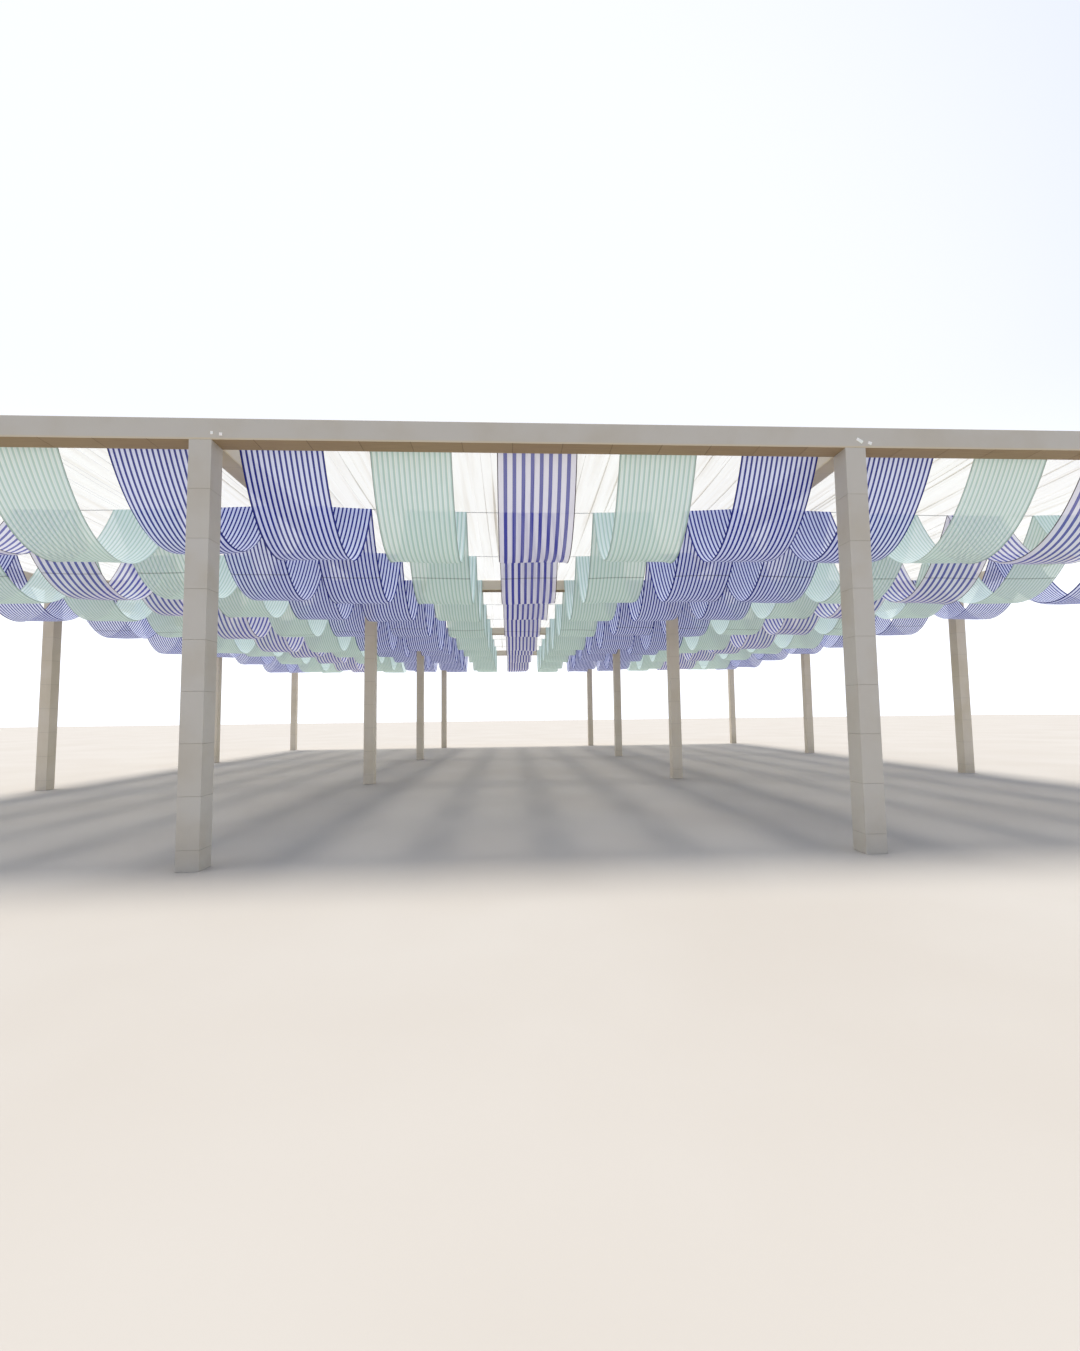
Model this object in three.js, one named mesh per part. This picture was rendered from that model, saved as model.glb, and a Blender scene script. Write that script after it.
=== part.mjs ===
// Open event canopy: a square board-clad frame of three by three bays, wires across its
// top, fifteen striped cloth bands swagged from front to back and a sheer white ceiling.
// Millimetres, +Z up, origin on the ground under the middle of the frame, front towards -Y.

import * as THREE from "three";

// Frame
const bay = 6100;               // post spacing, both ways
const bayCount = 3;
const clearHeight = 3820;       // ground to the underside of the beams
const section = 200;            // width of a post, width and depth of a beam

// Net of wires, two across each bay, laid over the beams that run front to back
const wireRadius = 4;
const wireSides = 6;
const wiresPerBay = 2;
const wireSag = 80;             // at the middle of a bay
const seatGap = 0.4;            // cloth or wire to what carries it
const endInset = 20;            // wires and cloth stop this far inside the outer beam faces

// Cloth bands
const bandsPerBay = 5;
const bandWidth = 790;
const clothThickness = 6;
const swagLowOuter = 3050;      // lowest cloth in a swag that starts at a beam
const swagLowMiddle = 2960;     // lowest cloth in a swag between two wires
const swagCurve = 1.4;          // half the span over the catenary's own length
const swagSteps = 6;
const crestTurn = THREE.MathUtils.degToRad(64);   // slope of the cloth where it leaves a support
const crestSteps = 2;           // chords in each half of a crest

const ceilingGap = 20;          // between neighbouring ceiling sheets

// Levels and places that follow
const beamTop = clearHeight + section;
const wireLevel = beamTop + seatGap + wireRadius;
const crestRadius = wireRadius + seatGap + clothThickness / 2;
const edgeRadius = seatGap + clothThickness / 2;
const half = section / 2;
const halfFrame = (bayCount * bay) / 2;
const lineAt = (index) => index * bay - halfFrame;
const bayMiddle = (index) => lineAt(index) + bay / 2;
const bandPitch = bay / bandsPerBay;
const bandCount = bandsPerBay * bayCount;
const bandMiddle = (index) => -halfFrame + (index + 0.5) * bandPitch;
const wireSpacing = bay / (wiresPerBay + 1);
const wireAt = (index) => {
  const bayIndex = Math.floor(index / wiresPerBay);
  return lineAt(bayIndex) + wireSpacing * ((index % wiresPerBay) + 1);
};

const finishes = {
  frame: { color: 0xcfc9bb, roughness: 0.62, metalness: 0 },
  thin: { color: 0x5a60b4, roughness: 0.9, metalness: 0 },
  mint: { color: 0xb4cdc4, roughness: 0.9, metalness: 0 },
  wide: { color: 0x8d86b4, roughness: 0.9, metalness: 0 },
  sheer: { color: 0xf4f2ec, roughness: 0.95, metalness: 0 },
  wire: { color: 0x6d6f70, roughness: 0.4, metalness: 0.9 },
};
const bandOrder = ["thin", "mint", "wide", "mint", "thin"];   // across one bay

const canopy = new THREE.Group();

function addMesh(name, geometry, finish) {
  const mesh = new THREE.Mesh(geometry, new THREE.MeshStandardMaterial(finishes[finish]));
  mesh.name = name;
  canopy.add(mesh);
  return mesh;
}

// An outline in Y and Z, extruded along X
function extrudeAcross(outline, depth, steps) {
  const geometry = new THREE.ExtrudeGeometry(outline, { depth, steps, bevelEnabled: false });
  const turn = new THREE.Matrix4().makeBasis(
    new THREE.Vector3(0, 1, 0), new THREE.Vector3(0, 0, 1), new THREE.Vector3(1, 0, 0));
  return geometry.applyMatrix4(turn);
}

// How far the wires have sunk below the beam tops: nothing over a beam, most in mid bay
function sinkAt(x, y) {
  const column = THREE.MathUtils.clamp(Math.floor((x + halfFrame) / bay), 0, bayCount - 1);
  const across = (x - bayMiddle(column)) / (bay / 2 - half);
  const row = THREE.MathUtils.clamp(Math.floor((y + halfFrame) / bay), 0, bayCount - 1);
  const fromBeam = bay / 2 - half - Math.abs(y - bayMiddle(row));
  const along = THREE.MathUtils.clamp(fromBeam / (wireSpacing - half), 0, 1);
  return wireSag * Math.max(0, 1 - across * across) * along;
}

// Cloth sinks with the wires that carry it, but the bottoms of the swags stay level
function drape(geometry) {
  const place = geometry.getAttribute("position");
  for (let i = 0; i < place.count; i += 1) {
    const z = place.getZ(i);
    const share = (z - swagLowMiddle) / (wireLevel - swagLowMiddle);
    place.setZ(i, z - share * sinkAt(place.getX(i), place.getY(i)));
  }
  return geometry;
}

// Moves points that stand at whole numbers along an axis to the stations of those numbers
function spread(geometry, axis, stations) {
  const place = geometry.getAttribute("position");
  for (let i = 0; i < place.count; i += 1) {
    place.setComponent(i, axis, stations[Math.round(place.getComponent(i, axis))]);
  }
  return geometry;
}

// Places across the frame where wires and ceiling bend: the beam faces and the band edges
function stationsAcross(column) {
  const middle = bayMiddle(column);
  const stations = [middle - bay / 2 + half];
  for (let i = 0; i < bandsPerBay; i += 1) {
    const band = bandMiddle(column * bandsPerBay + i);
    stations.push(band - bandWidth / 2, band + bandWidth / 2);
  }
  stations.push(middle + bay / 2 - half);
  return stations;
}

// Posts and beams
const postShape = new THREE.BoxGeometry(section, section, clearHeight);
const crossBeamShape = new THREE.BoxGeometry(2 * halfFrame + section, section, section);
const longBeamShape = new THREE.BoxGeometry(section, bay - section, section);

for (let row = 0; row <= bayCount; row += 1) {
  const beam = addMesh(`cross_beam_row${row + 1}`, crossBeamShape, "frame");
  beam.position.set(0, lineAt(row), clearHeight + half);
  for (let column = 0; column <= bayCount; column += 1) {
    const post = addMesh(`post_row${row + 1}_col${column + 1}`, postShape, "frame");
    post.position.set(lineAt(column), lineAt(row), clearHeight / 2);
  }
}
for (let column = 0; column <= bayCount; column += 1) {
  for (let row = 0; row < bayCount; row += 1) {
    const beam = addMesh(`long_beam_col${column + 1}_bay${row + 1}`, longBeamShape, "frame");
    beam.position.set(lineAt(column), bayMiddle(row), clearHeight + half);
  }
}

// Wires
function wireGeometry(y) {
  const stations = [-halfFrame - half + endInset];
  for (let column = 0; column < bayCount; column += 1) stations.push(...stationsAcross(column));
  stations.push(halfFrame + half - endInset);

  const ring = new THREE.Shape(
    Array.from({ length: wireSides }, (_, i) => {
      const angle = (2 * Math.PI * i) / wireSides;
      return new THREE.Vector2(wireRadius * Math.cos(angle), wireRadius * Math.sin(angle));
    }),
  );
  const steps = stations.length - 1;
  const tube = extrudeAcross(ring, steps, steps);
  spread(tube, 0, stations);
  tube.translate(0, y, wireLevel);
  return drape(tube);
}
for (let i = 0; i < wiresPerBay * bayCount; i += 1) {
  addMesh(`wire_${i + 1}`, wireGeometry(wireAt(i)), "wire");
}

// A point of the cloth's middle surface, seen from the side, with the direction off its face
function ribPoint(y, z, lean) {
  return { y, z, offY: Math.sin(lean), offZ: Math.cos(lean) };
}

// Cloth bent round a beam edge or a wire, from one lean to another
function crest(y, z, radius, fromLean, toLean) {
  const steps = Math.round((crestSteps * Math.abs(toLean - fromLean)) / crestTurn);
  return Array.from({ length: steps + 1 }, (_, i) => {
    const lean = fromLean + ((toLean - fromLean) * i) / steps;
    return ribPoint(y + radius * Math.sin(lean), z + radius * Math.cos(lean), lean);
  });
}

// A swag hung from one point to another, without its two end points
function swag(from, to, low) {
  const span = to.y - from.y;
  const drop = (from.z + to.z) / 2 - low;
  const points = [];
  for (let i = 1; i < swagSteps; i += 1) {
    const t = i / swagSteps;
    const bend = swagCurve * (2 * t - 1);
    const full = Math.cosh(swagCurve) - 1;
    const depth = (Math.cosh(swagCurve) - Math.cosh(bend)) / full;
    const slope = (to.z - from.z + (drop * 2 * swagCurve * Math.sinh(bend)) / full) / span;
    const z = from.z + (to.z - from.z) * t - drop * depth;
    points.push(ribPoint(from.y + span * t, z, -Math.atan(slope)));
  }
  return points;
}

// The whole band from the side: over the front beam, down and up between beams and wires,
// and over the back beam
function bandPath() {
  const supports = [];
  for (let row = 0; row <= bayCount; row += 1) {
    const y = lineAt(row);
    const rise = row === 0
      ? [ribPoint(y - half + endInset, beamTop + edgeRadius, 0)]
      : crest(y - half, beamTop, edgeRadius, -crestTurn, 0);
    const fall = row === bayCount
      ? [ribPoint(y + half - endInset, beamTop + edgeRadius, 0)]
      : crest(y + half, beamTop, edgeRadius, 0, crestTurn);
    supports.push([...rise, ...fall]);
    if (row < bayCount) {
      for (let i = 0; i < wiresPerBay; i += 1) {
        const wire = wireAt(row * wiresPerBay + i);
        supports.push(crest(wire, wireLevel, crestRadius, -crestTurn, crestTurn));
      }
    }
  }
  const path = [...supports[0]];
  for (let i = 1; i < supports.length; i += 1) {
    const middle = i % (wiresPerBay + 1) === wiresPerBay;
    const low = middle ? swagLowMiddle : swagLowOuter;
    path.push(...swag(path[path.length - 1], supports[i][0], low), ...supports[i]);
  }
  return path;
}

function bandGeometry(x) {
  const path = bandPath();
  const face = (side) => path.map((p) => new THREE.Vector2(
    p.y + side * p.offY * clothThickness / 2, p.z + side * p.offZ * clothThickness / 2));
  const outline = new THREE.Shape([...face(-1), ...face(1).reverse()]);
  const cloth = extrudeAcross(outline, bandWidth, 1);
  cloth.translate(x - bandWidth / 2, 0, 0);
  return drape(cloth);
}
for (let i = 0; i < bandCount; i += 1) {
  const kind = bandOrder[i % bandsPerBay];
  const number = String(i + 1).padStart(2, "0");
  addMesh(`band_${number}_${kind}`, bandGeometry(bandMiddle(i)), kind);
}

// Cuts the cells of a box's underside along the same diagonals as those of its top, so that a
// cell keeps its thickness when it is twisted
function matchDiagonals(box) {
  const index = box.getIndex();
  const underside = box.groups[5];
  for (let i = underside.start; i < underside.start + underside.count; i += 6) {
    index.setX(i + 2, index.getX(i + 4));
    index.setX(i + 3, index.getX(i));
  }
  return box;
}

// Ceiling: one sheet for each column of bays, lying on the bands where those cross a support
function ceilingGeometry(column) {
  const left = column === 0 ? lineAt(0) - half + endInset : lineAt(column) + ceilingGap / 2;
  const right = column === bayCount - 1
    ? lineAt(bayCount) + half - endInset
    : lineAt(column + 1) - ceilingGap / 2;
  const across = [left, ...stationsAcross(column), right];

  const overBeam = beamTop + 2 * seatGap + clothThickness;
  const overWire = wireLevel + wireRadius + 2 * seatGap + clothThickness;
  const along = [];
  const levels = [];
  for (let row = 0; row <= bayCount; row += 1) {
    const y = lineAt(row);
    along.push(y - half + (row === 0 ? endInset : 0), y + half - (row === bayCount ? endInset : 0));
    levels.push(overBeam, overBeam);
    if (row < bayCount) {
      for (let i = 0; i < wiresPerBay; i += 1) {
        along.push(wireAt(row * wiresPerBay + i));
        levels.push(overWire);
      }
    }
  }

  const cellsX = across.length - 1;
  const cellsY = along.length - 1;
  const box = new THREE.BoxGeometry(cellsX, cellsY, clothThickness, cellsX, cellsY, 1);
  const sheet = matchDiagonals(box);
  sheet.translate(cellsX / 2, cellsY / 2, clothThickness / 2);
  const place = sheet.getAttribute("position");
  for (let i = 0; i < place.count; i += 1) {
    place.setZ(i, place.getZ(i) + levels[Math.round(place.getY(i))]);
  }
  spread(sheet, 0, across);
  spread(sheet, 1, along);
  return drape(sheet);
}
["left", "middle", "right"].forEach((side, column) => {
  addMesh(`ceiling_${side}`, ceilingGeometry(column), "sheer");
});

export default canopy;
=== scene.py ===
# Open event canopy: a square frame of posts and beams clad in painted boards, wires laid across
# its top, fifteen striped cloth bands swagged over beams and wires, and a sheer gathered ceiling.

import bmesh
import bpy
import math
import random
from functools import partial
from mathutils import Euler, Matrix, Vector, noise


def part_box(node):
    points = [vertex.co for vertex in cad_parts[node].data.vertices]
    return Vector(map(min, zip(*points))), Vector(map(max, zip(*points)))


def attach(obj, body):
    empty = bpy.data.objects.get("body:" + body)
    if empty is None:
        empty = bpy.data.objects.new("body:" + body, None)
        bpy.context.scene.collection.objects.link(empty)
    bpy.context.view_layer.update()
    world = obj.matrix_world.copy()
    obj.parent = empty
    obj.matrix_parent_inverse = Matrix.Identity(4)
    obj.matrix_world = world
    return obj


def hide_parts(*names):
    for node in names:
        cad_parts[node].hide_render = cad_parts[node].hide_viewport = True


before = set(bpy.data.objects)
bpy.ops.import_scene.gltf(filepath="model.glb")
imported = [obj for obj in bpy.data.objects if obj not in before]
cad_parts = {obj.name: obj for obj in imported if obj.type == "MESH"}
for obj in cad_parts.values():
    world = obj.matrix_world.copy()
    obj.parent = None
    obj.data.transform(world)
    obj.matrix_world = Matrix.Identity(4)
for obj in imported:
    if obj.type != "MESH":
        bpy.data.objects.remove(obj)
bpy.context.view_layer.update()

scene = bpy.context.scene

# Levels and lines of the frame, read from the solid model
postLow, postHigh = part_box("post_row1_col1")
section = postHigh.x - postLow.x
beamUnder, beamTop = postHigh.z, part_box("cross_beam_row1")[1].z


def middle(node, axis):
    low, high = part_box(node)
    return (low[axis] + high[axis]) / 2


columns = [middle(f"post_row1_col{i}", 0) for i in (1, 2, 3, 4)]
rows = [middle(f"post_row{i}_col1", 1) for i in (1, 2, 3, 4)]
wireLines = [middle(f"wire_{i + 1}", 1) for i in range(6)]
bay = columns[1] - columns[0]
half = section / 2
endInset = 0.02                     # wires and cloth stop this far inside the outer beam faces

# Helpers for pieces and materials


def finishPiece(name, bm, materials, replaced=(), smooth=False, clean=True):
    if clean:
        bmesh.ops.recalc_face_normals(bm, faces=bm.faces)
    mesh = bpy.data.meshes.new(name)
    bm.to_mesh(mesh)
    bm.free()
    mesh.polygons.foreach_set("use_smooth", [smooth] * len(mesh.polygons))
    for material in materials:
        mesh.materials.append(material)
    piece = bpy.data.objects.new(name, mesh)
    scene.collection.objects.link(piece)
    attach(piece, "root")
    if replaced:
        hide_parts(*replaced)
    return piece


def linear(hexColour):              # an sRGB hex colour as the linear RGBA that Blender wants
    parts = [int(hexColour[i:i + 2], 16) / 255 for i in (1, 3, 5)]
    return [p / 12.92 if p <= 0.04045 else ((p + 0.055) / 1.055) ** 2.4 for p in parts] + [1.0]


# Adds a shader node. Keys of links are input names, or numbers counted among the inputs in use: on
# a Mix node the share and the two colours, on a Map Range node the value, from low, from high, to
# low and to high. What they hold is a socket to link or a value to set. Returns the output named
# out, or the first one
def addNode(tree, kind, links=None, out=None, **settings):
    node = tree.nodes.new("ShaderNode" + kind)
    for key, value in settings.items():
        setattr(node, key, value)
    for key, value in (links or {}).items():
        live = [s for s in node.inputs if s.enabled]
        socket = live[key] if isinstance(key, int) else next(s for s in live if s.name == key)
        if isinstance(value, bpy.types.NodeSocket):
            tree.links.new(value, socket)
        else:
            socket.default_value = value
    live = [s for s in node.outputs if s.enabled]
    return next(s for s in live if s.name == out) if out else (live[0] if live else None)


rgba = {"data_type": "RGBA"}                        # a Mix node that blends colours
eased = {"interpolation_type": "SMOOTHSTEP"}        # a Map Range node with soft ends
# Sizes of patterns are in millimetres: 1000 / size is how many of its grains a metre holds


def newMaterial(name):              # an empty material, and what adds a node to it
    material = bpy.data.materials.new(name)
    material.use_nodes = True
    material.node_tree.nodes.clear()
    return material, partial(addNode, material.node_tree)


# Camera: fitted to the posts and beams of the photograph
view = {
    "place": (-0.27, -14.272, 1.301),
    "yaw": 3.0, "pitch": 4.045, "roll": -0.718,     # degrees: to the right, up, and about the view
    "focalPixels": 558.25, "imageHeight": 1351, "sensor": 36.0,
    "nearest": 0.1, "farthest": 300,
}
lens = bpy.data.cameras.new("camera")
lens.sensor_width = view["sensor"]
lens.lens = view["focalPixels"] / view["imageHeight"] * view["sensor"]
lens.clip_start, lens.clip_end = view["nearest"], view["farthest"]
camera = bpy.data.objects.new("camera", lens)
turn = Euler((math.radians(90 + view["pitch"]), 0, math.radians(-view["yaw"])), "XYZ").to_matrix()
tilt = Matrix.Rotation(math.radians(view["roll"]), 3, "Z")
camera.matrix_world = Matrix.LocRotScale(Vector(view["place"]), turn @ tilt, None)
scene.collection.objects.link(camera)
scene.camera = camera

# Light: a soft sky, brightest in a band of haze along the horizon, white behind the canopy and
# bluer in front of it, and one broad high sun behind it
light = {
    "haze": "#F6F9FF", "hazeStrength": 1.06, "clearSky": "#BCD2FC", "clearStrength": 0.76,
    "bandStrength": 1.35, "bandTop": 0.45,          # of the haze; its top as the sine of a height
    "fromLeft": 0.35,                               # how far the white side leans to the left
    "blueUpTo": -0.7, "whiteFrom": 0.6,             # along the way from the front to the back
    "sun": "#FFFAF2", "sunStrength": 4.9, "sunSpread": 20, "sunHeight": 84, "sunHeading": 24,
    "floor": "#A7A29B", "floorShade": "#A39D95", "floorSize": 240, "floorDrop": 0.002,
    "cloudSize": 2857,                              # of the darker places on the floor
    "thinLayers": 32, "bounces": 10,                # a ray may pass many layers of thin cloth
}
world = bpy.data.worlds.new("sky")
world.use_nodes = True
world.node_tree.nodes.clear()
add = partial(addNode, world.node_tree)
way = add("TexCoord", out="Generated")
right, forward, up = (add("SeparateXYZ", {"Vector": way}, out=axis) for axis in "XYZ")
leaning = add("Math", {0: right, 1: light["fromLeft"]}, operation="MULTIPLY")
heading = add("Math", {0: forward, 1: leaning}, operation="SUBTRACT")
turning = {0: heading, 1: light["blueUpTo"], 2: light["whiteFrom"]}
ahead = add("MapRange", turning, **eased)
high = add("MapRange", {0: up, 1: 0.0, 2: light["bandTop"]}, **eased)
skyColour = add("Mix", {0: high, 1: linear(light["haze"]), 2: linear(light["clearSky"])}, **rgba)
skyColour = add("Mix", {0: ahead, 1: skyColour, 2: linear(light["haze"])}, **rgba)
above = add("MapRange", {**turning, 3: light["clearStrength"], 4: light["hazeStrength"]}, **eased)
more = add("Math", {0: above, 1: light["bandStrength"]}, operation="SUBTRACT")
more = add("Math", {0: high, 1: more}, operation="MULTIPLY")
glow = add("Math", {0: light["bandStrength"], 1: more}, operation="ADD")
sky = add("Background", {"Color": skyColour, "Strength": glow})
add("OutputWorld", {"Surface": sky})
scene.world = world
lamp = bpy.data.lights.new("sun", "SUN")
lamp.color = linear(light["sun"])[:3]
lamp.energy = light["sunStrength"]
lamp.angle = math.radians(light["sunSpread"])
sun = bpy.data.objects.new("sun", lamp)
sun.rotation_euler = (math.radians(light["sunHeight"] - 90), 0, math.radians(light["sunHeading"]))
scene.collection.objects.link(sun)
scene.view_settings.view_transform = "Standard"
scene.cycles.transparent_max_bounces = light["thinLayers"]
scene.cycles.max_bounces = light["bounces"]

ground, add = newMaterial("floor_plaster")
place = add("TexCoord", out="Object")
cloud = add("TexNoise", {"Vector": place, "Scale": 1000 / light["cloudSize"], "Detail": 3.0})
cloud = add("MapRange", {0: cloud, 1: 0.3, 2: 0.7}, **eased)
tone = add("Mix", {0: cloud, 1: linear(light["floor"]), 2: linear(light["floorShade"])}, **rgba)
shade = add("BsdfPrincipled", {"Base Color": tone, "Roughness": 0.9})
add("OutputMaterial", {"Surface": shade})
bm = bmesh.new()
bmesh.ops.create_grid(bm, x_segments=1, y_segments=1, size=light["floorSize"] / 2)
mesh = bpy.data.meshes.new("floor")
bm.to_mesh(mesh)
bm.free()
mesh.materials.append(ground)
floor = bpy.data.objects.new("floor", mesh)
floor.location.z = -light["floorDrop"]
scene.collection.objects.link(floor)
print("camera, light and floor ready")

# Clad posts and beams
boards = {
    "postPitch": 0.455,             # board length, counted down from the head of a post
    "perBay": 13,                   # boards along a beam between two posts
    "endGap": 0.05,                 # no joint lies closer to the end of a beam
    "firstNumber": 40,              # boards are counted from here, so that no number is negative
    "groove": 0.004, "depth": 0.0022, "corner": 0.003,
    # plain, warm and cool tones of one paint in two copies: the front row has the grey one, and the
    # paler, warmer cream copy on the rest paints the brighter fill light under the canopy
    "coatsWithPaintedFill": {
        "grey": ("#C1BAAC", "#BCB3A2", "#C3BDB1"), "cream_painted_fill": ("#D6CAB5", "#D0C3AB", "#D7CCB9"),
    },
    "dust": "#A99C86", "dustTop": 0.55, "dustShare": 0.55,
    "lip": "#CDBB96", "lipHeight": 0.018, "lipSoft": 0.002, "lipShare": 0.6,
    "joint": "#8C8373",
    # board lengths from a joint where its line starts to fade and is gone, and how dark it is
    "jointLine": (0.003, 0.008, 0.4), "soffitLine": (0.004, 0.009, 0.6),
    "soffit": "#AA9270", "soffitGrain": "#9B8567", "soffitPale": "#B29D7F", "soffitJoint": "#64523B",
    "toneSize": 588, "dustSize": 111, "rolledSize": 71.4, "stippleSize": 4.17,
    "grainSize": (293, 5.88),       # along and across a board
}
beamBoard = bay / boards["perBay"]


# How dark the nearest joint makes a place along the boards
def jointShade(add, along, line):
    cell = add("Math", {0: along}, operation="FRACT")
    rest = add("Math", {0: 1.0, 1: cell}, operation="SUBTRACT")
    away = add("Math", {0: cell, 1: rest}, operation="MINIMUM")
    return add("MapRange", {0: away, 1: line[0], 2: line[1], 3: line[2], 4: 0.0}, **eased)


# Painted plywood boards: satin emulsion rolled over filler. Even and soft, each board a touch
# lighter or darker than the next, joints dark, a little dust low down and in the joints
def paintedBoards(coat):
    material, add = newMaterial(coat + "_painted_plywood")
    # the tones of one copy of the paint; the cream copy is paler and warmer as painted fill light
    plain, warm, cool = (linear(tone) for tone in boards["coatsWithPaintedFill"][coat])
    flat = add("UVMap", uv_map="boards")
    along = add("SeparateXYZ", {"Vector": flat}, out="X")
    board = add("Math", {0: along}, operation="FLOOR")
    place = add("TexCoord", out="Object")
    spread = add("TexWhiteNoise", {"W": board}, out="Value", noise_dimensions="1D")
    cloud = add("TexNoise", {"Vector": place, "Scale": 1000 / boards["toneSize"], "Detail": 4.0})
    cloud = add("MapRange", {0: cloud, 1: 0.42, 2: 0.72}, **eased)
    colour = add("Mix", {0: spread, 1: plain, 2: cool}, **rgba)
    colour = add("Mix", {0: cloud, 1: colour, 2: warm}, **rgba)
    streak = add("TexNoise", {"Vector": place, "Scale": 1000 / boards["dustSize"], "Detail": 5.0})
    height = add("SeparateXYZ", {"Vector": place}, out="Z")
    top, share = boards["dustTop"], boards["dustShare"]
    low = add("MapRange", {0: height, 1: 0.0, 2: top, 3: share, 4: 0.0}, **eased)
    low = add("Math", {0: low, 1: streak}, operation="MULTIPLY")
    colour = add("Mix", {0: low, 1: colour, 2: linear(boards["dust"])}, **rgba)
    # the bare edge of the boards under a beam, along the foot of its sides
    top, soft, share = beamUnder + boards["lipHeight"], boards["lipSoft"], boards["lipShare"]
    over = add("MapRange", {0: height, 1: beamUnder - soft, 2: beamUnder, 3: 0.0, 4: share}, **eased)
    under = add("MapRange", {0: height, 1: top - soft, 2: top + soft, 3: 1.0, 4: 0.0}, **eased)
    foot = add("Math", {0: over, 1: under}, operation="MULTIPLY")
    colour = add("Mix", {0: foot, 1: colour, 2: linear(boards["lip"])}, **rgba)
    inJoint = jointShade(add, along, boards["jointLine"])
    colour = add("Mix", {0: inJoint, 1: colour, 2: linear(boards["joint"])}, **rgba)
    # roller stipple of about 4 mm, drawn coarser than the real 1 mm so that it shows
    stipple = add("TexNoise", {"Vector": place, "Scale": 1000 / boards["stippleSize"], "Detail": 2.0})
    stipple = add("Math", {0: stipple, 1: 0.35}, operation="MULTIPLY")
    rolled = add("TexNoise", {"Vector": place, "Scale": 1000 / boards["rolledSize"], "Detail": 3.0})
    relief = add("Math", {0: stipple, 1: rolled}, operation="ADD")
    bump = add("Bump", {"Strength": 0.35, "Distance": 0.0015, "Height": relief})
    gloss = add("MapRange", {0: rolled, 1: 0.3, 2: 0.7, 3: 0.46, 4: 0.62}, **eased)
    shade = add("BsdfPrincipled", {
        "Base Color": colour, "Roughness": gloss, "Normal": bump, "IOR": 1.47,
    })
    add("OutputMaterial", {"Surface": shade})
    return material


# Plywood under the cross beams: tan, with a straight grain along the beam and dark joints. Its darker,
# browner tone is partly painted shade and painted brown light thrown up from the ground
def soffitBoards():
    material, add = newMaterial("underside_plywood_painted_bounce")
    flat = add("UVMap", uv_map="boards")
    along = add("SeparateXYZ", {"Vector": flat}, out="X")
    board = add("Math", {0: along}, operation="FLOOR")
    spread = add("TexWhiteNoise", {"W": board}, out="Value", noise_dimensions="1D")
    # grain lines 3 to 8 mm wide, drawn out along the board
    long, wide = boards["grainSize"]
    counts = (beamBoard * 1000 / long, 1000 / wide, 1.0)       # to a board, and to a metre
    drawn = add("VectorMath", {0: flat, 1: counts}, operation="MULTIPLY")
    grain = add("TexNoise", {"Vector": drawn, "Scale": 1.0, "Detail": 3.0, "Distortion": 0.4})
    dark = add("MapRange", {0: grain, 1: 0.35, 2: 0.7}, **eased)
    colour = add("Mix", {0: dark, 1: linear(boards["soffit"]), 2: linear(boards["soffitGrain"])}, **rgba)
    pale = add("Math", {0: spread, 1: 0.35}, operation="MULTIPLY")
    colour = add("Mix", {0: pale, 1: colour, 2: linear(boards["soffitPale"])}, **rgba)
    inJoint = jointShade(add, along, boards["soffitLine"])
    colour = add("Mix", {0: inJoint, 1: colour, 2: linear(boards["soffitJoint"])}, **rgba)
    bump = add("Bump", {"Strength": 0.3, "Distance": 0.0008, "Height": grain})
    shade = add("BsdfPrincipled", {"Base Color": colour, "Roughness": 0.72, "Normal": bump})
    add("OutputMaterial", {"Surface": shade})
    return material


# A post or beam with softened corners. A post has a groove all round at each joint of its boards;
# a beam has them underneath, where its boards are short, and long boards on its other faces
def cladBar(name, low, high, axis, joints, boardLength, origin, materials):
    size, centre = high - low, (high + low) / 2
    bm = bmesh.new()
    bmesh.ops.create_cube(bm, size=1)
    bmesh.ops.scale(bm, vec=size, verts=bm.verts)
    bmesh.ops.translate(bm, vec=centre, verts=bm.verts)
    longEdges = [e for e in bm.edges
                 if abs(e.verts[0].co[axis] - e.verts[1].co[axis]) > size[axis] / 2]
    bmesh.ops.bevel(bm, geom=longEdges, offset=boards["corner"], affect="EDGES", segments=2,
                    profile=0.5, material=-1)
    normal = Vector((0, 0, 0))
    normal[axis] = 1
    groove = boards["groove"] / 2
    for joint in joints:
        for cut in (joint - groove, joint, joint + groove):
            point = centre.copy()
            point[axis] = cut
            bmesh.ops.bisect_plane(bm, geom=bm.verts[:] + bm.edges[:] + bm.faces[:],
                                   plane_co=point, plane_no=normal)
        for vert in bm.verts:       # the middle cut sinks in
            if abs(vert.co[axis] - joint) < groove / 4:
                if axis == 2:
                    for side in (0, 1):
                        offset = vert.co[side] - centre[side]
                        vert.co[side] -= math.copysign(min(boards["depth"], abs(offset)), offset)
                elif vert.co.z < low.z + boards["corner"] / 2:
                    vert.co.z += boards["depth"]
    bm.normal_update()
    uvLayer = bm.loops.layers.uv.new("boards")
    for face in bm.faces:
        under = axis != 2 and face.normal.z < -0.5
        across = max((s for s in range(3) if s != axis), key=lambda s: -abs(face.normal[s]))
        # the underside of a cross beam takes the tan boards, darker and browner partly as painted shade
        # and bounce light
        face.material_index = 1 if under and axis == 0 else 0
        for loop in face.loops:
            place = loop.vert.co
            count = (place[axis] - origin) / boardLength if under or axis == 2 else 0.5
            loop[uvLayer].uv = (count + boards["firstNumber"], place[across])
    finishPiece(name + "_clad", bm, materials, [name])


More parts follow.
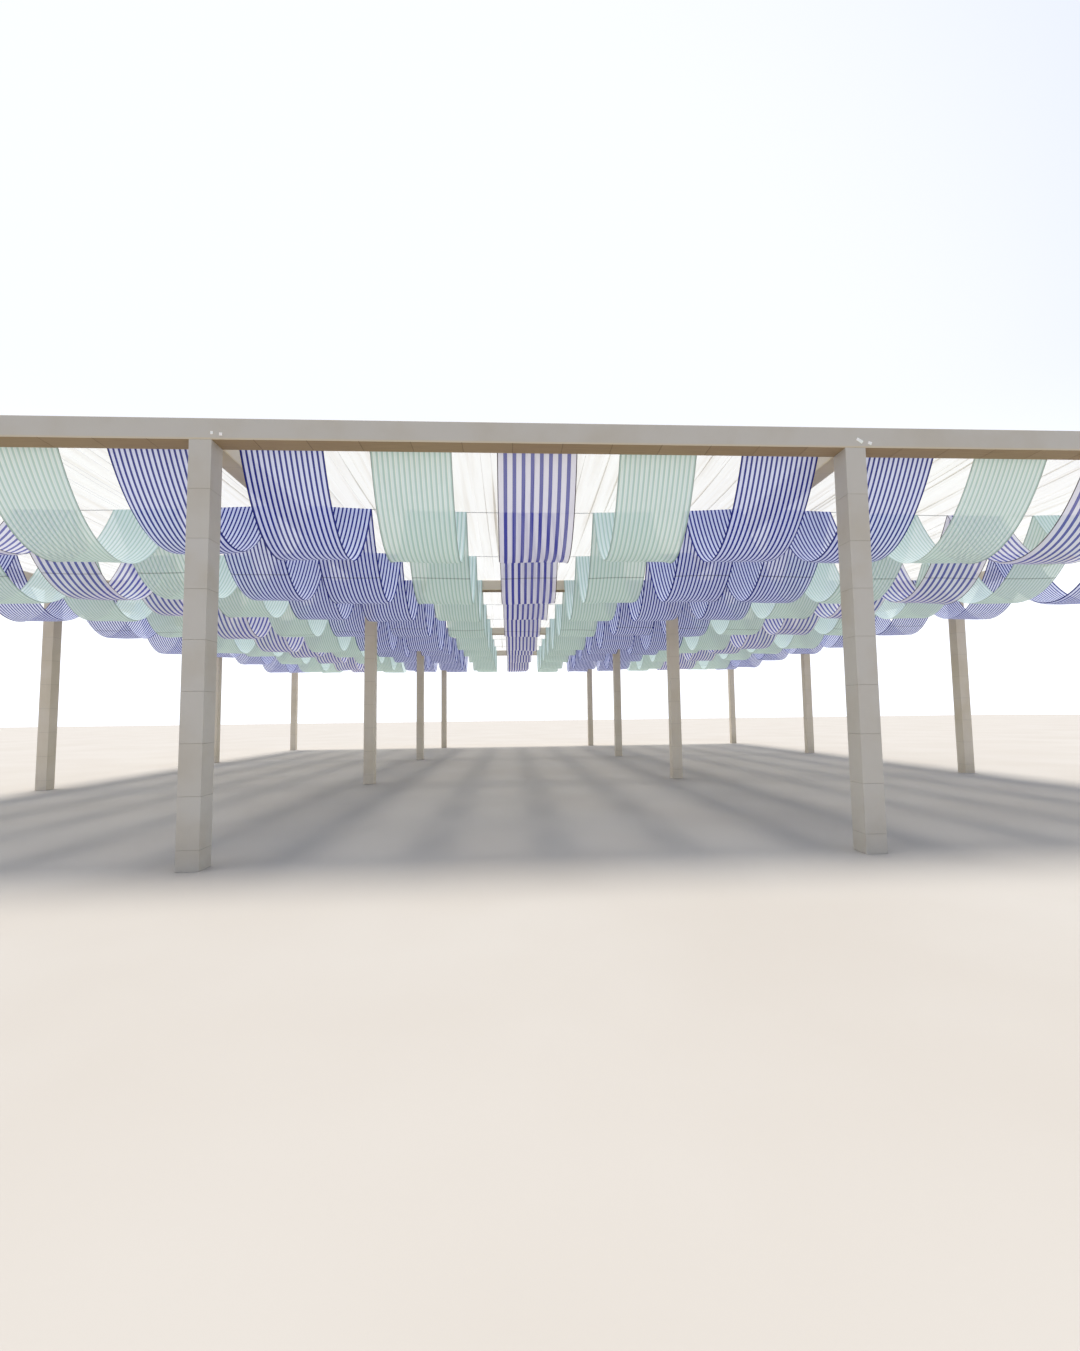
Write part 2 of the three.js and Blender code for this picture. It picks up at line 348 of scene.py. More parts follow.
soffit = soffitBoards()
paints = {coat: [paintedBoards(coat), soffit] for coat in boards["coatsWithPaintedFill"]}
postJoints = []
while beamUnder - boards["postPitch"] * (len(postJoints) + 1) > boards["postPitch"] / 4:
    postJoints.append(beamUnder - boards["postPitch"] * (len(postJoints) + 1))
for node in sorted(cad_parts):
    low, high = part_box(node)
    # behind the front row the boards take the paler, warmer copy of the paint: painted fill light
    paint = paints["grey" if "_row1" in node else "cream_painted_fill"]
    if node.startswith("post_"):
        cladBar(node, low, high, 2, postJoints, boards["postPitch"], beamUnder, paint)
    elif node.startswith("cross_beam_") or node.startswith("long_beam_"):
        axis = 0 if node.startswith("cross_beam_") else 1
        origin = columns[0] if axis == 0 else rows[0]
        first = math.ceil((low[axis] + boards["endGap"] - origin) / beamBoard)
        last = math.floor((high[axis] - boards["endGap"] - origin) / beamBoard)
        joints = [origin + beamBoard * i for i in range(first, last + 1)]
        cladBar(node, low, high, axis, joints, beamBoard, origin, paint)
print("posts and beams clad")

# Wires
rope = {
    "radius": 0.004, "seat": 0.0004, "sag": 0.08, "sides": 10, "steps": 150, "weld": 0.0001,
    "strands": 7, "layLength": 0.05, "steel": "#C3C6C6", "grime": "#7D7C78",
}
wireLevel = beamTop + rope["seat"] + rope["radius"]


# How far the wires have sunk below their places on the beams, smooth along both axes
def sinkAt(x, y):
    column = min(max(int((x - columns[0]) // bay), 0), 2)
    across = (x - columns[column] - bay / 2) / (bay / 2 - half)
    row = min(max(int((y - rows[0]) // bay), 0), 2)
    fromBeam = bay / 2 - half - abs(y - rows[row] - bay / 2)
    along = min(max(fromBeam / (bay / 3 - half), 0), 1)
    return rope["sag"] * max(0, 1 - across * across) * along


# Galvanised steel wire rope: dull silver strands that wind round, dirt in the lay
def wireRope():
    material, add = newMaterial("galvanised_wire_rope")
    flat = add("UVMap", uv_map="rope")
    around = add("SeparateXYZ", {"Vector": flat}, out="X")
    along = add("SeparateXYZ", {"Vector": flat}, out="Y")
    around = add("Math", {0: around, 1: float(rope["strands"])}, operation="MULTIPLY")
    along = add("Math", {0: along, 1: rope["layLength"] / rope["strands"]}, operation="DIVIDE")
    wound = add("Math", {0: around, 1: along}, operation="ADD")
    wound = add("Math", {0: wound, 1: 2 * math.pi}, operation="MULTIPLY")
    strand = add("Math", {0: wound}, operation="SINE")
    groove = add("MapRange", {0: strand, 1: -1.0, 2: -0.2, 3: 1.0, 4: 0.0}, **eased)
    colour = add("Mix", {0: groove, 1: linear(rope["steel"]), 2: linear(rope["grime"])}, **rgba)
    bump = add("Bump", {"Strength": 0.8, "Distance": 0.0008, "Height": strand})
    shade = add("BsdfPrincipled", {
        "Base Color": colour, "Metallic": 0.6, "Roughness": 0.42, "Normal": bump,
    })
    add("OutputMaterial", {"Surface": shade})
    return material


def ropeWire(name, y, material):
    sides, steps = rope["sides"], rope["steps"]
    start, end = columns[0] - half + endInset, columns[3] + half - endInset
    bm = bmesh.new()
    uvLayer = bm.loops.layers.uv.new("rope")
    bmesh.ops.create_grid(bm, x_segments=steps, y_segments=sides, size=1)
    for face in bm.faces:
        for loop in face.loops:
            share = (loop.vert.co.x + 1) / 2
            loop[uvLayer].uv = ((loop.vert.co.y + 1) / 2, start + (end - start) * share)
    for vert in bm.verts:
        x = start + (end - start) * (vert.co.x + 1) / 2
        angle = math.pi * (vert.co.y + 1)
        z = wireLevel - sinkAt(x, y)
        vert.co = (x, y + rope["radius"] * math.cos(angle), z + rope["radius"] * math.sin(angle))
    bmesh.ops.remove_doubles(bm, verts=bm.verts, dist=rope["weld"])
    bmesh.ops.holes_fill(bm, edges=[e for e in bm.edges if e.is_boundary], sides=sides)
    finishPiece(name + "_rope", bm, [material], [name], smooth=True)


steelRope = wireRope()
for i, y in enumerate(wireLines):
    ropeWire(f"wire_{i + 1}", y, steelRope)
print("wires strung")

# Small fittings: saddles that hold the wires down on the beams, end sleeves, tabs and a screw eye
fitting = {
    "saddle": (0.014, 0.04, 0.0014),        # along the wire, across it, thick
    "saddleInset": 0.03,                    # on the outer beams, inwards of the beam's middle
    "bridge": 0.0056, "screw": 0.0032, "screwHeight": 0.0014, "screwPlace": 0.0145,
    "sleeve": (0.0058, 0.018),              # radius and length at each end of a wire
    "bridgeSides": 14, "screwSides": 10, "sleeveSides": 12,
    "zinc": "#A9ABA8", "tarnish": "#7E7F7A", "mottleSize": 6.25,
    "tabColour": "#F6F3EA", "tabShade": "#E2DED2", "tabThick": 0.004, "tabGrainSize": 3.33,
    # tabs over posts 1 and 2: to the right of the post's middle, above the beam's foot, width,
    # height, lean in degrees
    "tabs": {
        1: ((0.1, 0.062, 0.022, 0.03, 0), (0.18, 0.05, 0.027, 0.03, 0)),
        2: ((0.045, 0.07, 0.066, 0.032, 32), (0.145, 0.046, 0.036, 0.03, 20)),
    },
    "ringRadius": 0.008, "ringWire": 0.0018, "ringPlace": -0.1, "ringSides": 10, "ringSteps": 24,
    "ringForward": 0.6,                     # from the beam's middle, as a share of half its width
    "ringFoot": 1.6,                        # radius of the foot, in radii of the ring's wire
}


# Zinc-plated steel: pressed, pale grey, faintly mottled
def zincPlate():
    material, add = newMaterial("zinc_plated_steel")
    place = add("TexCoord", out="Object")
    mottle = add("TexNoise", {"Vector": place, "Scale": 1000 / fitting["mottleSize"], "Detail": 3.0})
    dull = add("MapRange", {0: mottle, 1: 0.4, 2: 0.65}, **eased)
    colour = add("Mix", {0: dull, 1: linear(fitting["zinc"]), 2: linear(fitting["tarnish"])}, **rgba)
    gloss = add("MapRange", {0: mottle, 1: 0.3, 2: 0.7, 3: 0.3, 4: 0.5}, **eased)
    shade = add("BsdfPrincipled", {"Base Color": colour, "Metallic": 1.0, "Roughness": gloss})
    add("OutputMaterial", {"Surface": shade})
    return material


def addBlock(bm, size, centre, corner, lean=0.0):
    made = bmesh.ops.create_cube(bm, size=1)["verts"]
    bmesh.ops.scale(bm, vec=size, verts=made)
    bmesh.ops.rotate(bm, cent=(0, 0, 0), matrix=Matrix.Rotation(lean, 3, "Y"), verts=made)
    bmesh.ops.translate(bm, vec=centre, verts=made)
    edges = list({e for v in made for e in v.link_edges})
    bmesh.ops.bevel(bm, geom=edges, offset=corner, affect="EDGES", segments=2, profile=0.5,
                    material=-1)


def addRod(bm, radius, length, centre, turned, sides):
    made = bmesh.ops.create_cone(bm, cap_ends=True, segments=sides, radius1=radius,
                                 radius2=radius, depth=length)["verts"]
    bmesh.ops.rotate(bm, cent=(0, 0, 0), matrix=turned, verts=made)
    bmesh.ops.translate(bm, vec=centre, verts=made)


zinc = zincPlate()
upright = Matrix.Identity(3)
alongX = Matrix.Rotation(math.pi / 2, 3, "Y")
bm = bmesh.new()
length, _, thick = fitting["saddle"]
tall = fitting["screwHeight"]
for x in columns:
    place = min(max(x, columns[0] + fitting["saddleInset"]), columns[3] - fitting["saddleInset"])
    for y in wireLines:
        addBlock(bm, fitting["saddle"], (place, y, beamTop + thick / 2), thick / 4)
        spot = (place, y, wireLevel)
        addRod(bm, fitting["bridge"], length, spot, alongX, fitting["bridgeSides"])
        for side in (-1, 1):
            spot = (place, y + side * fitting["screwPlace"], beamTop + thick + tall / 2)
            addRod(bm, fitting["screw"], tall, spot, upright, fitting["screwSides"])
radius, length = fitting["sleeve"]
for y in wireLines:
    for x in (columns[0] - half + endInset, columns[3] + half - endInset):
        inward = 0.5 * length * (1 if x < 0 else -1)
        spot = (x + inward, y, beamTop + rope["seat"] + radius)
        addRod(bm, radius, length, spot, alongX, fitting["sleeveSides"])
finishPiece("wire_saddles", bm, [zinc])


# White nylon keeper tabs, moulded: bright and slightly waxy, with a faint grain of 0.3 mm that is
# drawn ten times as coarse so that it shows
def nylon():
    material, add = newMaterial("white_nylon")
    place = add("TexCoord", out="Object")
    grain = add("TexNoise", {"Vector": place, "Scale": 1000 / fitting["tabGrainSize"], "Detail": 2.0})
    dull = add("MapRange", {0: grain, 1: 0.4, 2: 0.6, 3: 0.0, 4: 0.3}, **eased)
    tones = linear(fitting["tabColour"]), linear(fitting["tabShade"])
    colour = add("Mix", {0: dull, 1: tones[0], 2: tones[1]}, **rgba)
    bump = add("Bump", {"Strength": 0.2, "Distance": 0.0003, "Height": grain})
    shade = add("BsdfPrincipled", {
        "Base Color": colour, "Roughness": 0.4, "Normal": bump, "Subsurface Weight": 0.1,
        "Subsurface Scale": 0.002,
    })
    add("OutputMaterial", {"Surface": shade})
    return material


white = nylon()
thick = fitting["tabThick"]
for name, y, way in (("front", rows[0] - half, -1), ("back", rows[3] + half, 1)):
    bm = bmesh.new()
    for column, tabs in fitting["tabs"].items():
        for shift, height, width, tall, lean in tabs:
            centre = (-way * (columns[column] + shift), y + way * thick / 2, beamUnder + height)
            addBlock(bm, (width, thick, tall), centre, thick / 4, -way * math.radians(lean))
    finishPiece("keeper_tabs_" + name, bm, [white])
ring, wire = fitting["ringRadius"], fitting["ringWire"]
bm = bmesh.new()
bmesh.ops.create_circle(bm, segments=fitting["ringSides"], radius=wire)
bmesh.ops.translate(bm, vec=(ring, 0, 0), verts=bm.verts)
bmesh.ops.spin(bm, geom=bm.verts[:] + bm.edges[:], cent=(0, 0, 0), axis=(0, 1, 0), dvec=(0, 0, 0),
               angle=2 * math.pi, steps=fitting["ringSteps"], use_merge=True, use_duplicate=False)
spot = Vector((fitting["ringPlace"], rows[0] - fitting["ringForward"] * half, beamTop + ring + wire))
bmesh.ops.translate(bm, vec=spot, verts=bm.verts)
foot = spot - Vector((0, 0, ring + wire))
addRod(bm, wire * fitting["ringFoot"], 2 * wire, foot, upright, fitting["ringSides"])
finishPiece("screw_eye", bm, [zinc], smooth=True)
print("fittings made")

# Striped bands, each one long cloth from front to back
band = {
    "flatWidth": 0.79, "hem": 0.009, "hemGap": 0.0011,
    "curve": 1.4,                   # half a span over the catenary's own length
    "lowOuter": 3.05, "lowMiddle": 2.96,        # lowest cloth beside a beam, and between two wires
    "lowSpread": 0.024, "tilt": 0.02, "crown": 0.014, "shift": 0.012, "gather": 0.02,
    "letOut": 0.6, "loosening": 0.8,            # of the gather in a swag, and how soon it sets in
    "curlWidth": 0.085, "curl": 0.42, "curlBack": -0.35,
    "ripple": 0.005, "flutter": 0.0016,
    "rippleScale": (2.6, 0.9), "flutterScale": (9, 2.2),        # to a width, and to a metre along
    "sway": 0.004, "swayScale": 1.6,
    "onBeam": 0.0024, "onWire": 0.0055,         # middle of the cloth to the beam edge or wire
    "swagSteps": 38, "turnSteps": 4, "flatSteps": 3, "innerSteps": 19,
    "edgeSteps": (0, 0.009, 0.034, 0.062),      # close together, because the cloth curls there
    # painted shadows of the wires: dark lines across every band, one each pitch, shifted a little in
    # each band
    "wireShadowPitch": 6.3, "wireShadowSpread": 0.015,
    "wireShadowShare": 0.235,             # the first painted wire shadow is this far along the second swag
    # how much higher than the rest the first swags of a band hang, as the photograph shows
    "raised": {3: (0.08, 0.095, 0.08), 4: (0.0, 0.09, 0.06), 5: (0.085, 0.03)},
}
edges, inner = list(band["edgeSteps"]), band["innerSteps"]
acrossSteps = edges + [edges[-1] + (band["flatWidth"] - 2 * edges[-1]) * i / inner
                       for i in range(1, inner)]
acrossSteps += [band["flatWidth"] - step for step in reversed(edges)]
# place across and lift off the face, with the hem turned under at both edges
acrossColumns = [(band["hem"], -band["hemGap"]), (0.0, -band["hemGap"])]
acrossColumns += [(step, 0.0) for step in acrossSteps]
acrossColumns += [(band["flatWidth"] - u, lift) for u, lift in reversed(acrossColumns[:2])]

# What a band passes over, front to back: where it comes on and goes off, level, rounding
stops = []
for row, y in enumerate(rows):
    stops.append((y - half, y + half, beamTop, band["onBeam"]))
    stops += [(wire, wire, wireLevel, band["onWire"]) for wire in wireLines[2 * row:2 * row + 2]]
stops[0] = (stops[0][0] + endInset,) + stops[0][1:]
stops[-1] = (stops[-1][0], stops[-1][1] - endInset) + stops[-1][2:]

# The rows of the sheet: a turn on or off a support, a flat place, or a share of a swag
bandRows = []
for i, (on, off, *_) in enumerate(stops):
    if i > 0:
        bandRows += [("on", i, k / band["turnSteps"] - 1) for k in range(band["turnSteps"] + 1)]
    if off > on:
        firstStep = 0 if i == 0 else 1
        bandRows += [("flat", i, k / band["flatSteps"]) for k in range(firstStep, band["flatSteps"] + 1)]
    if i < len(stops) - 1:
        bandRows += [("off", i, k / band["turnSteps"]) for k in range(1, band["turnSteps"] + 1)]
        bandRows += [("swag", i, k / band["swagSteps"]) for k in range(1, band["swagSteps"])]


# Swag i at x: where the cloth leaves one support and meets the next, and how steeply
def swagEnds(i, x, low):
    fromY, toY = stops[i][1], stops[i + 1][0]
    fromZ, toZ = stops[i][2] - sinkAt(x, fromY), stops[i + 1][2] - sinkAt(x, toY)
    full = math.cosh(band["curve"]) - 1
    drop = (fromZ + toZ) / 2 - low
    steep = drop * 2 * band["curve"] * math.sinh(band["curve"]) / full / (toY - fromY)
    rise = (toZ - fromZ) / (toY - fromY)
    leave, meet = math.atan(steep - rise), math.atan(steep + rise)
    first = (fromY + stops[i][3] * math.sin(leave), fromZ + stops[i][3] * math.cos(leave))
    last = (toY - stops[i + 1][3] * math.sin(meet), toZ + stops[i + 1][3] * math.cos(meet))
    return first, last, leave, meet


# A point of the band seen from the side: y, z and the lean of its face
def sidePoint(x, row, ends, lows):
    kind, i, share = row
    if kind == "swag":
        first, last = ends[i][:2]
        span, climb = last[0] - first[0], last[1] - first[1]
        drop = (first[1] + last[1]) / 2 - lows[i]
        bend, full = band["curve"] * (2 * share - 1), math.cosh(band["curve"]) - 1
        z = first[1] + climb * share - drop * (math.cosh(band["curve"]) - math.cosh(bend)) / full
        slope = (climb + drop * 2 * band["curve"] * math.sinh(bend) / full) / span
        return first[0] + span * share, z, -math.atan(slope)
    on, off, level, rounding = stops[i]
    if kind == "flat":
        return on + (off - on) * share, level + rounding, 0
    lean = share * (ends[i - 1][3] if kind == "on" else ends[i][2])
    y = on if kind == "on" else off
    return y + rounding * math.sin(lean), level - sinkAt(x, y) + rounding * math.cos(lean), lean


def bandCloth(name, centre, material, number):
    dice = random.Random(number)

    def either(size):
        return dice.uniform(-size, size)

    swags = [{
        "low": (band["lowMiddle"] if i % 3 == 1 else band["lowOuter"]) + either(band["lowSpread"]),
        "tilt": either(band["tilt"]), "crown": either(band["crown"]),
        "curls": [band["curl"] * dice.uniform(band["curlBack"], 1) for _ in range(2)],
    } for i in range(len(stops) - 1)]
    for swag, lift in zip(swags, band["raised"].get(number, ())):
        swag["low"] += lift
    shifts = [either(band["shift"]) for _ in stops]
    widths = [band["flatWidth"] - dice.uniform(0, band["gather"]) for _ in stops]
    flatWidth = band["flatWidth"]

    bm = bmesh.new()
    uvLayer = bm.loops.layers.uv.new("cloth")
    bmesh.ops.create_grid(bm, x_segments=len(acrossColumns) - 1, y_segments=len(bandRows) - 1, size=1)
    places = {}
    for vert in bm.verts:
        column = round((vert.co.x + 1) / 2 * (len(acrossColumns) - 1))
        places[vert] = (column, round((vert.co.y + 1) / 2 * (len(bandRows) - 1)))

    # the middle line gives each row its distance along the cloth
    lows = [s["low"] - s["crown"] for s in swags]
    ends = [swagEnds(i, centre, low) for i, low in enumerate(lows)]
    line = [Vector(sidePoint(centre, row, ends, lows)[:2]) for row in bandRows]
    along = [0.0]
    for a, b in zip(line, line[1:]):
        along.append(along[-1] + (b - a).length)
    # the painted wire shadows start so that the first falls on the second swag
    wireShadowAt = next(s for s, (kind, i, share) in zip(along, bandRows)
                  if (kind, i) == ("swag", 1) and share > band["wireShadowShare"])
    wireShadowStart = band["wireShadowPitch"] - wireShadowAt - either(band["wireShadowSpread"])

    side = []
    for u, _ in acrossColumns:
        cross = u / flatWidth - 0.5
        x = centre + cross * flatWidth
        lows = [s["low"] + s["tilt"] * cross - s["crown"] * (1 - 4 * cross * cross) for s in swags]
        ends = [swagEnds(i, x, low) for i, low in enumerate(lows)]
        side.append([sidePoint(x, row, ends, lows) for row in bandRows])

    for vert, (column, r) in places.items():
        u, lift = acrossColumns[column]
        kind, i, share = bandRows[r]
        y, z, lean = side[column][r]
        cross = u / flatWidth - 0.5
        far = share if kind == "swag" else 0.0
        j = min(i + 1, len(stops) - 1)
        ease = far * far * (3 - 2 * far)
        free = math.sin(math.pi * far) ** band["loosening"]
        width = widths[i] * (1 - ease) + widths[j] * ease + band["letOut"] * band["gather"] * free
        x = centre + cross * width + shifts[i] * (1 - ease) + shifts[j] * ease
        if kind == "swag":
            curl = swags[i]["curls"][0 if cross < 0 else 1] * free
            fromEdge = min(u, flatWidth - u)
            up = max(0.0, 1 - fromEdge / band["curlWidth"])
            lift += curl * up * up * band["curlWidth"]
            x -= math.copysign(curl * curl * up ** 3 * band["curlWidth"], cross)
            # each band reads the noise in places of its own
            wide, long = band["rippleScale"]
            slow = noise.noise((cross * wide + 7 * number, along[r] * long, 3.1 * number))
            wide, long = band["flutterScale"]
            quick = noise.noise((cross * wide + 5 * number, along[r] * long, 1.7 * number))
            lift += free * (band["ripple"] * slow + band["flutter"] * quick)
            x += band["sway"] * free * noise.noise((along[r] * band["swayScale"], 9.0 * number, cross))
        vert.co = (x, y + lift * math.sin(lean), z + lift * math.cos(lean))
    for face in bm.faces:
        for loop in face.loops:
            column, r = places[loop.vert]
            # laid flat, the hems lie outside the edges of the face
            u = acrossColumns[column][0] * (1 if acrossColumns[column][1] == 0 else -1)
            if column > len(acrossColumns) - 3:
                u = 2 * flatWidth - acrossColumns[column][0]
            loop[uvLayer].uv = (u, along[r] + wireShadowStart)
    piece = finishPiece(name + "_cloth", bm, [material], [name], smooth=True, clean=False)


# Stripes are given as place after the first one, width and colour; open is the share of gaps in
# the weave, and blocked the part of them that the dye of the main stripe closes
cloths = {
    "thin": {
        "name": "cotton_lawn_navy_pinstripe", "slot": "cloth_blue_pinstripe",
        "ground": "#DAE2FF", "glow": "#F9F6FF", "edge": "#30368A", "first": 0.0105,
        "pitch": 0.0513, "stripes": [(0.0, 0.0215, "#192788")], "open": 0.165, "blocked": 0.62,
    },
    "mint": {
        "name": "cotton_lawn_mint_stripe", "slot": "cloth_mint_stripe",
        "ground": "#E2F3F8", "glow": "#DCE1CE", "edge": "#C3D3CF", "first": 0.012,
        "pitch": 0.0511, "stripes": [(0.0, 0.021, "#B8D5D4"), (0.0131, 0.0048, "#F8FCF6")],
        "open": 0.17, "blocked": 0.35,
    },
    "wide": {
        "name": "cotton_lawn_blue_stripe", "slot": "cloth_blue_stripe",
        "ground": "#E2E3F2", "glow": "#F6F1F2", "edge": "#655D63", "first": 0.08,
        "pitch": 0.09, "stripes": [(0.0, 0.038, "#4A4EA4")], "open": 0.2, "blocked": 0.35,
    },
}
weave = {
    "through": 0.3,                 # share of the cloth's light that comes through it
    "edge": 0.0085, "wireShadow": 0.016, "slub": 0.10, "thread": 0.003,
    "slubSize": (1.43, 200),        # across the cloth and along it
    "soft": 0.001, "edgeSoft": 0.0008, "wireShadowSoft": 0.002,       # how far lines blur into the cloth
    "wireShadowDarkness": 0.45,              # how dark a painted wire shadow is
    "shut": 0.7,                    # share of the gaps that doubled cloth at the hems and the painted wire shadows close
}


# Thin yarn-dyed cotton lawn: soft and dull, it glows where light comes through, lets a little of
# what is behind it show, and gets deeper in colour where two layers hang over each other; light
# that has come through the dye is a little warmer than light thrown back by it. The threads are
# 0.3 mm apart and drawn 3 mm apart, because the real ones are too fine to show
def stripedLawn(look):
    material, add = newMaterial(look["name"])
    flat = add("UVMap", uv_map="cloth")
    u = add("SeparateXYZ", {"Vector": flat}, out="X")
    v = add("SeparateXYZ", {"Vector": flat}, out="Y")
    wide, long = weave["slubSize"]
    drawn = add("VectorMath", {0: flat, 1: (1000 / wide, 1000 / long, 1.0)}, operation="MULTIPLY")
    slub = add("TexNoise", {"Vector": drawn, "Scale": 1.0, "Detail": 2.0})
    colour, dyed = linear(look["ground"]), 0.0
    for offset, width, tone in look["stripes"]:
        # distance from the middle of the nearest stripe
        away = add("Math", {0: u, 1: look["first"] + offset}, operation="SUBTRACT")
        away = add("Math", {0: away, 1: look["pitch"]}, operation="DIVIDE")
        away = add("Math", {0: away, 1: 0.5}, operation="ADD")
        away = add("Math", {0: away}, operation="FRACT")
        away = add("Math", {0: away, 1: 0.5}, operation="SUBTRACT")
        away = add("Math", {0: away}, operation="ABSOLUTE")
        away = add("Math", {0: away, 1: look["pitch"]}, operation="MULTIPLY")
        low, high = width / 2 - weave["soft"], width / 2 + weave["soft"]
        stripe = add("MapRange", {0: away, 1: low, 2: high, 3: 1.0, 4: 0.0}, **eased)
        colour = add("Mix", {0: stripe, 1: colour, 2: linear(tone)}, **rgba)
        dyed = stripe if offset == 0 else dyed
    # a darker line along both edges, where the hem doubles the cloth: its colour is partly the hem's own
    # and partly painted shade of the doubled cloth against the light
    away = add("Math", {0: u, 1: band["flatWidth"] / 2}, operation="SUBTRACT")
    away = add("Math", {0: away}, operation="ABSOLUTE")
    line = band["flatWidth"] / 2 - weave["edge"]
    soft = weave["edgeSoft"]
    edge = add("MapRange", {0: away, 1: line - soft, 2: line + soft}, **eased)
    colour = add("Mix", {0: edge, 1: colour, 2: linear(look["edge"])}, **rgba)
    # dark lines across the band, one each pitch along it: painted shadows of the wires
    wireShadow = add("Math", {0: v, 1: band["wireShadowPitch"]}, operation="DIVIDE")
    wireShadow = add("Math", {0: wireShadow}, operation="FRACT")
    wireShadow = add("Math", {0: wireShadow, 1: band["wireShadowPitch"]}, operation="MULTIPLY")
    line, soft = weave["wireShadow"], weave["wireShadowSoft"]
    wireShadow = add("MapRange", {0: wireShadow, 1: line, 2: line + soft, 3: 1.0, 4: 0.0}, **eased)
    dense = add("Math", {0: edge, 1: wireShadow}, operation="MAXIMUM")
    # slubs, and the painted wire shadows across the band, darken the colour
    shaded = add("MapRange", {0: slub, 1: 0.25, 2: 0.75, 3: 1.0, 4: 1.0 - weave["slub"]}, **eased)
    dark = add("Math", {0: wireShadow, 1: weave["wireShadowDarkness"]}, operation="MULTIPLY")
    dark = add("Math", {0: 1.0, 1: dark}, operation="SUBTRACT")
    shaded = add("Math", {0: shaded, 1: dark}, operation="MULTIPLY")
    grey = add("CombineColor", {"Red": shaded, "Green": shaded, "Blue": shaded})
    colour = add("Mix", {0: 1.0, 1: colour, 2: grey}, blend_type="MULTIPLY", **rgba)
    # threads, slubs, doubled cloth at the hems and the painted wire shadows stand out
    waves = []
    for direction in (u, v):
        wave = add("Math", {0: direction, 1: 2 * math.pi / weave["thread"]}, operation="MULTIPLY")
        waves.append(add("Math", {0: wave}, operation="SINE"))
    threads = add("Math", {0: waves[0], 1: waves[1]}, operation="MULTIPLY")
    threads = add("Math", {0: threads, 1: 0.3}, operation="MULTIPLY")
    relief = add("Math", {0: dense, 1: 1.5}, operation="MULTIPLY")
    relief = add("Math", {0: slub, 1: relief}, operation="ADD")
    relief = add("Math", {0: threads, 1: relief}, operation="ADD")
    bump = add("Bump", {"Strength": 0.35, "Distance": 0.0008, "Height": relief})
    face = add("BsdfPrincipled", {
        "Base Color": colour, "Roughness": 0.85, "Specular IOR Level": 0.12, "Normal": bump,
    })
    deeper = add("Mix", {0: 1.0, 1: colour, 2: linear(look["glow"])}, blend_type="MULTIPLY", **rgba)
    glow = add("BsdfTranslucent", {"Color": deeper, "Normal": bump})
    body = add("MixShader", {0: weave["through"], 1: face, 2: glow})
    # the gaps of the weave, fewer in the dyed stripe, in doubled cloth at the hems and under the painted
    # wire shadows
    shut = add("Math", {0: dense, 1: weave["shut"]}, operation="MULTIPLY")
    shut = add("Math", {0: 1.0, 1: shut}, operation="SUBTRACT")
    gaps = add("Math", {0: dyed, 1: look["open"] * look["blocked"]}, operation="MULTIPLY")
    gaps = add("Math", {0: look["open"], 1: gaps}, operation="SUBTRACT")
    gaps = add("Math", {0: shut, 1: gaps}, operation="MULTIPLY")
    clear = add("BsdfTransparent")
    surface = add("MixShader", {0: gaps, 1: body, 2: clear})
    add("OutputMaterial", {"Surface": surface})
    return material


lawns = {kind: stripedLawn(look) for kind, look in cloths.items()}
for node in sorted(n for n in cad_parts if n.startswith("band_")):
    number, kind = node.split("_")[1:]
    bandCloth(node, middle(node, 0), lawns[kind], int(number))
print("bands hung")

# Sheer ceiling, one gathered sheet for each column of bays
voile = {
    "gather": 1.16, "step": 0.0105, "rowStep": 0.3, "lift": 0.005,
    "foldPitch": 0.11, "foldSpread": 0.5, "foldWidth": (0.019, 0.03), "foldHeight": 0.0045,
    "foldDepth": 0.027, "depthShare": 0.38, "depthSwing": 1.1, "depthScale": 0.22,
    "foldReach": 3,                 # a fold moves the cloth as far as this many of its widths
    "foldPeak": 0.429,              # highest value of t exp(-t t)
    "shallow": 0.01,                # folds less deep than this also stand less high
    "wander": 0.05, "wanderScale": 0.16, "border": 0.1, "setBack": 0.035,
    "sag": 0.02, "wave": 0.006, "waveScale": (3.1, 0.35), "stillWave": 0.25,
    "overBeam": 0.0098, "overWire": 0.0142,         # middle of the sheet above a beam or a wire's axis
    "cloth": "#DBD7CB", "streak": "#CAC2B2", "through": 0.46,
    "open": (0.54, 0.432),          # share of gaps in plain cloth and in its denser streaks
    "streakSize": (71.4, 2000), "netSize": 3.85,
    "firstSeed": 200, "noiseReach": 900,    # for the random draws, and how far folds are spread
}


# Polyester voile: very thin and white, half of it is gaps, so that a fold of three layers
# reads as a soft cream streak against the sky. Its net of 0.2 mm is too fine to show and is
# drawn 4 mm wide
def whiteVoile():
    material, add = newMaterial("white_polyester_voile")
    flat = add("UVMap", uv_map="cloth")
    wide, long = voile["streakSize"]
    drawn = add("VectorMath", {0: flat, 1: (1000 / wide, 1000 / long, 1.0)}, operation="MULTIPLY")
    streak = add("TexNoise", {"Vector": drawn, "Scale": 1.0, "Detail": 4.0})
    dull = add("MapRange", {0: streak, 1: 0.4, 2: 0.75}, **eased)
    colour = add("Mix", {0: dull, 1: linear(voile["cloth"]), 2: linear(voile["streak"])}, **rgba)
    net = add("TexNoise", {"Vector": flat, "Scale": 1000 / voile["netSize"], "Detail": 1.0})
    bump = add("Bump", {"Strength": 0.2, "Distance": 0.0006, "Height": net})
    face = add("BsdfPrincipled", {
        "Base Color": colour, "Roughness": 0.8, "Specular IOR Level": 0.3, "Normal": bump,
    })
    glow = add("BsdfTranslucent", {"Color": colour, "Normal": bump})
    body = add("MixShader", {0: voile["through"], 1: face, 2: glow})
    most, least = voile["open"]
    gaps = add("MapRange", {0: streak, 1: 0.3, 2: 0.8, 3: most, 4: least}, **eased)
    clear = add("BsdfTransparent")
    surface = add("MixShader", {0: gaps, 1: body, 2: clear})
    add("OutputMaterial", {"Surface": surface})
    return material


